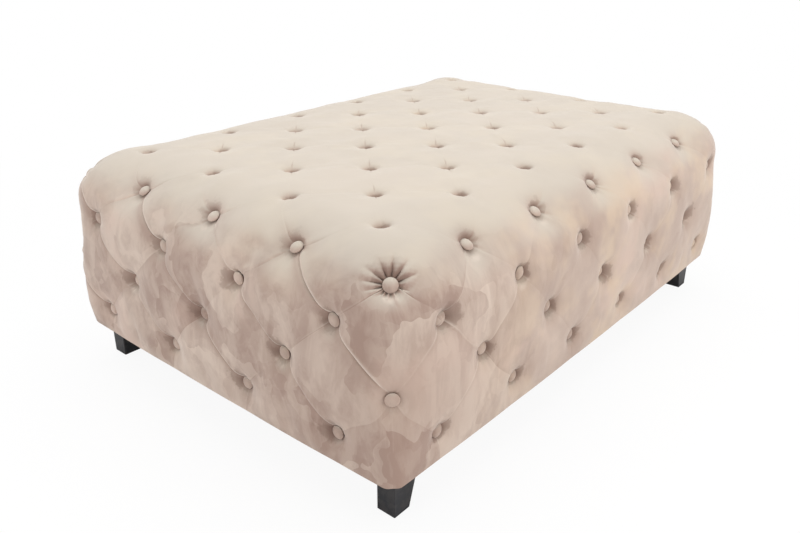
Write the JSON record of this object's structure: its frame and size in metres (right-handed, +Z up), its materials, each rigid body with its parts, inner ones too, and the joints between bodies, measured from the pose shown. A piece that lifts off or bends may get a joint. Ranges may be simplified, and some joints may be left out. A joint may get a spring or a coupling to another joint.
{
  "type": "tufted ottoman coffee table",
  "caption": "Low rectangular coffee table, deeply button-tufted velvet padding over a box frame, on short tapered black wooden legs.",
  "frame": {"origin": "centre of the table's footprint, on the floor under its legs", "axes": "+X along the length, +Y across the width towards the back, +Z up"},
  "size_m": [1.2004, 0.8604, 0.44],
  "materials": {
    "velvet": "soft cut-pile velvet, champagne",
    "wadding": "white fibre wadding",
    "foam": "open-cell foam",
    "plywood": "raw birch plywood",
    "pine": "planed pine",
    "black_wood": "satin black lacquer",
    "glide_plastic": "moulded",
    "twine": "waxed tufting twine",
    "toggle_wood": "turned beech",
    "dust_cloth": "black woven dust cloth",
    "steel": "zinc plated"
  },
  "bodies": {
    "root": {"bottom_cross_rail": "pine", "bottom_rail_back": "pine", "bottom_rail_front": "pine", "bottom_rail_left": "pine", "bottom_rail_right": "pine", "buttons_back": "velvet", "buttons_corner": "velvet", "buttons_edge": "velvet", "buttons_front": "velvet", "buttons_left": "velvet", "buttons_right": "velvet", "buttons_top": "velvet", "corner_nails": "steel", "corner_post_back_left": "pine", "corner_post_back_right": "pine", "corner_post_front_left": "pine", "corner_post_front_right": "pine", "cross_rail_left": "pine", "cross_rail_right": "pine", "deck_board": "plywood", "deck_screws": "steel", "dust_cover": "dust_cloth", "foam_back": "foam", "foam_front": "foam", "foam_left": "foam", "foam_right": "foam", "foam_top": "foam", "hanger_bolts": "steel", "hem_staples": "steel", "leg_back_left": "black_wood", "leg_back_right": "black_wood", "leg_front_left": "black_wood", "leg_front_right": "black_wood", "leg_glide_back_left": "glide_plastic", "leg_glide_back_right": "glide_plastic", "leg_glide_front_left": "glide_plastic", "leg_glide_front_right": "glide_plastic", "panel_back": "plywood", "panel_front": "plywood", "panel_left": "plywood", "panel_right": "plywood", "panel_screws": "steel", "threaded_inserts": "steel", "toggles_deck": "toggle_wood", "toggles_panels": "toggle_wood", "twine_back": "twine", "twine_edge": "twine", "twine_front": "twine", "twine_left": "twine", "twine_right": "twine", "twine_top": "twine", "velvet_cover": "velvet", "wadding": "wadding"}
  },
  "joints": []
}
